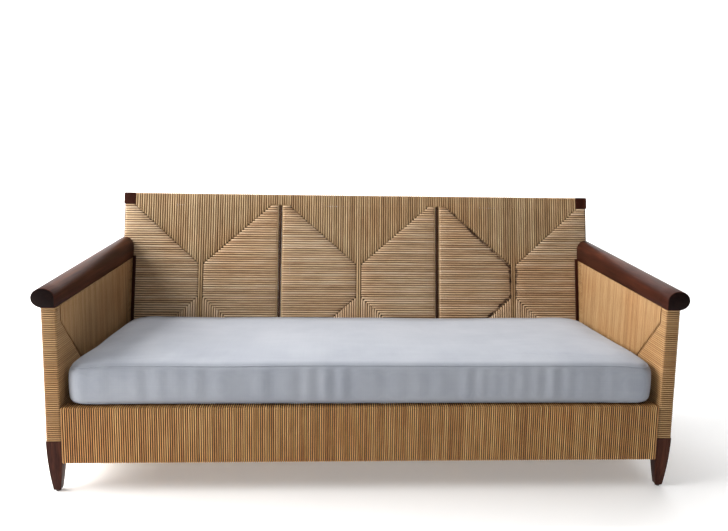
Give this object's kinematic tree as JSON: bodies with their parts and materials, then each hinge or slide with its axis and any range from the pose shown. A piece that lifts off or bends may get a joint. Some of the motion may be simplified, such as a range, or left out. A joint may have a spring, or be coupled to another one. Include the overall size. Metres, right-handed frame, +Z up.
{
  "type": "daybed",
  "caption": "Daybed with a cane-wrapped wooden frame, round handrails, a leaning woven back in sections, a slatted seat and a long loose cushion.",
  "frame": {"origin": "on the floor, under the middle of the bounding box", "axes": "+Z up, +Y from the seat's front towards the back, +X along the seat, to the right as seen from the front"},
  "size_m": [2.122, 0.902, 0.917],
  "materials": {
    "dark_wood": "dark red-brown stained hardwood, satin lacquer",
    "frame_wood": "plain unfinished hardwood",
    "slat_wood": "plain unfinished softwood",
    "cane_apron": "natural cane strands, golden tan, satin",
    "cane_arm": "natural cane strands, light tan, satin",
    "cane_back": "natural cane strands, greyer tan, satin",
    "stuffing": "packed dry fibre",
    "steel": "zinc-plated",
    "glide_nylon": "matte",
    "cushion_cotton": "plain-woven bluish-white cotton",
    "cushion_foam": "open-cell foam"
  },
  "bodies": {
    "frame": {"arm_bottom_rail_left": "frame_wood", "arm_bottom_rail_right": "frame_wood", "arm_rear_stile_left": "frame_wood", "arm_rear_stile_right": "frame_wood", "arm_screws": "steel", "arm_stuffing_left": "stuffing", "arm_stuffing_right": "stuffing", "arm_top_rail_left": "frame_wood", "arm_top_rail_right": "frame_wood", "back_bottom_rail": "frame_wood", "back_stile_inner_left": "frame_wood", "back_stile_inner_right": "frame_wood", "back_stile_outer_left": "frame_wood", "back_stile_outer_right": "frame_wood", "back_stuffing_centre": "stuffing", "back_stuffing_left": "stuffing", "back_stuffing_right": "stuffing", "back_top_rail": "frame_wood", "corner_block_screws": "steel", "corner_blocks": "frame_wood", "corner_trim_left": "dark_wood", "corner_trim_right": "dark_wood", "dowels": "frame_wood", "foot_glides": "glide_nylon", "front_leg_left": "dark_wood", "front_leg_right": "dark_wood", "groove_strip_left": "dark_wood", "groove_strip_right": "dark_wood", "handrail_left": "dark_wood", "handrail_right": "dark_wood", "handrail_screws": "steel", "rear_leg_left": "dark_wood", "rear_leg_right": "dark_wood", "seat_rail_front": "frame_wood", "seat_rail_left": "frame_wood", "seat_rail_rear": "frame_wood", "seat_rail_right": "frame_wood", "seat_slats": "slat_wood", "seat_stretcher_left": "frame_wood", "seat_stretcher_right": "frame_wood", "slat_cleat_front": "frame_wood", "slat_cleat_rear": "frame_wood", "slat_screws": "steel", "weave_arm_left": "cane_arm", "weave_arm_right": "cane_arm", "weave_back_centre": "cane_back", "weave_back_left": "cane_back", "weave_back_right": "cane_back", "weave_back_top": "cane_back", "weave_front_rail": "cane_apron"},
    "cushion": {"cushion_cover": "cushion_cotton", "cushion_core": "cushion_foam"}
  },
  "joints": [
    {"name": "cushion_lift", "type": "slide", "parent": "frame", "child": "cushion", "axis": [0, 0, 1], "range_m": [0, 0.68]}
  ]
}
